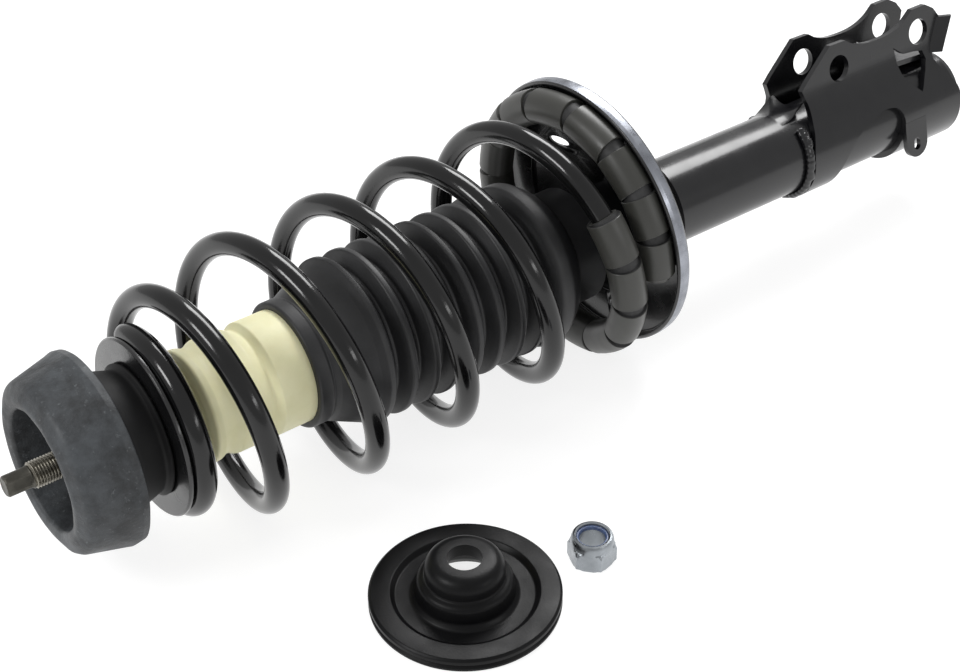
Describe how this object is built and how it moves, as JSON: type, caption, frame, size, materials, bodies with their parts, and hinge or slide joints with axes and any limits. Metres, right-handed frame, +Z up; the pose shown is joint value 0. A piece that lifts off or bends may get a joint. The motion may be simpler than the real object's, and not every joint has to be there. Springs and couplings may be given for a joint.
{
  "type": "suspension strut assembly",
  "caption": "Front suspension strut with coil spring, bellows, foam bump stop, rubber top mount and forked knuckle bracket, with its loose top retainer and nut.",
  "frame": {"origin": "bottom centre of the box round everything: on the floor that the strut lies on", "axes": "+X runs along the lying strut from its top mount to its knuckle bracket, +Z is up, +Y is the side that the bracket's ears lean to"},
  "size_m": [0.6452, 0.2676, 0.1588],
  "materials": {
    "black_paint": "gloss black paint",
    "spring_paint": "gloss black powder coat",
    "seat_paint": "satin black paint",
    "bare_steel": "machined",
    "rod_chrome": "hard chrome",
    "thread_steel": "oiled thread",
    "bearing_steel": "ground",
    "bronze": "sintered bush",
    "sintered": "sintered iron",
    "boot_rubber": "matte black rubber",
    "mount_grey": "bloomed grey rubber",
    "neck_rubber": "black rubber",
    "seal_rubber": "nitrile",
    "bump_foam": "cream microcellular foam",
    "sleeve_plastic": "satin black plastic",
    "ptfe": "bronze-filled band",
    "cage_plastic": "moulded cage",
    "retainer_paint": "black dip paint",
    "zinc": "bright zinc",
    "nylon": "pale blue nylon"
  },
  "bodies": {
    "strut_body": {"reserve_tube": "black_paint", "bottom_cap": "black_paint", "tube_closure": "bare_steel", "rod_seal": "seal_rubber", "rod_guide": "sintered", "guide_bush": "bronze", "inner_cylinder": "bare_steel", "base_valve": "sintered", "base_valve_disc": "bare_steel", "knuckle_bracket": "black_paint", "bracket_web": "black_paint", "bracket_stiffener": "black_paint", "bracket_welds": "black_paint", "hose_tab": "black_paint", "lower_spring_seat": "seat_paint", "seat_collar": "seat_paint", "coil_spring": "spring_paint", "spring_sleeve": "sleeve_plastic", "dust_boot": "boot_rubber"},
    "rod": {"piston_rod": "rod_chrome", "slotted_nut": "thread_steel", "bearing_inner_race": "bearing_steel", "seat_spacer": "bare_steel", "upper_spring_seat": "seat_paint", "bump_washer": "bare_steel", "bump_stop": "bump_foam", "rebound_cushion": "seal_rubber", "rebound_stop": "bare_steel", "piston": "sintered", "piston_band": "ptfe", "piston_shims": "bare_steel", "piston_nut": "bare_steel"},
    "bearing_cage": {"bearing_balls": "bearing_steel", "bearing_cage": "cage_plastic"},
    "top_mount": {"bearing_outer_race": "bearing_steel", "mount_shell": "bare_steel", "mount_ring": "mount_grey", "mount_neck": "neck_rubber"},
    "retainer": {"retainer_plate": "retainer_paint"},
    "nut": {"locking_nut": "zinc", "nylon_insert": "nylon"}
  },
  "joints": [
    {"name": "strut_travel", "type": "slide", "parent": "strut_body", "child": "rod", "axis": [0.9999, 0, -0.0135], "range_m": [0, 0.16], "stiffness_N_per_m": 15000, "springref_m": -0.02, "deforming": ["coil_spring", "spring_sleeve", "dust_boot", "bump_stop"]},
    {"name": "mount_swivel", "type": "hinge", "parent": "rod", "child": "top_mount", "pos_m": [-0.26354, 0.05041, 0.06993], "axis": [0.9999, 0, -0.0135], "continuous": true},
    {"name": "cage_roll", "type": "hinge", "parent": "rod", "child": "bearing_cage", "pos_m": [-0.26354, 0.05041, 0.06993], "axis": [0.9999, 0, -0.0135], "continuous": true},
    {"name": "retainer_lift", "type": "slide", "parent": "strut_body", "child": "retainer", "axis": [0, 0, 1], "range_m": [0, 0.15]},
    {"name": "nut_lift", "type": "slide", "parent": "strut_body", "child": "nut", "axis": [0, 0, 1], "range_m": [0, 0.15]}
  ],
  "couplings": [
    {"joint": "cage_roll", "follows": "mount_swivel", "ratio": 0.5}
  ]
}
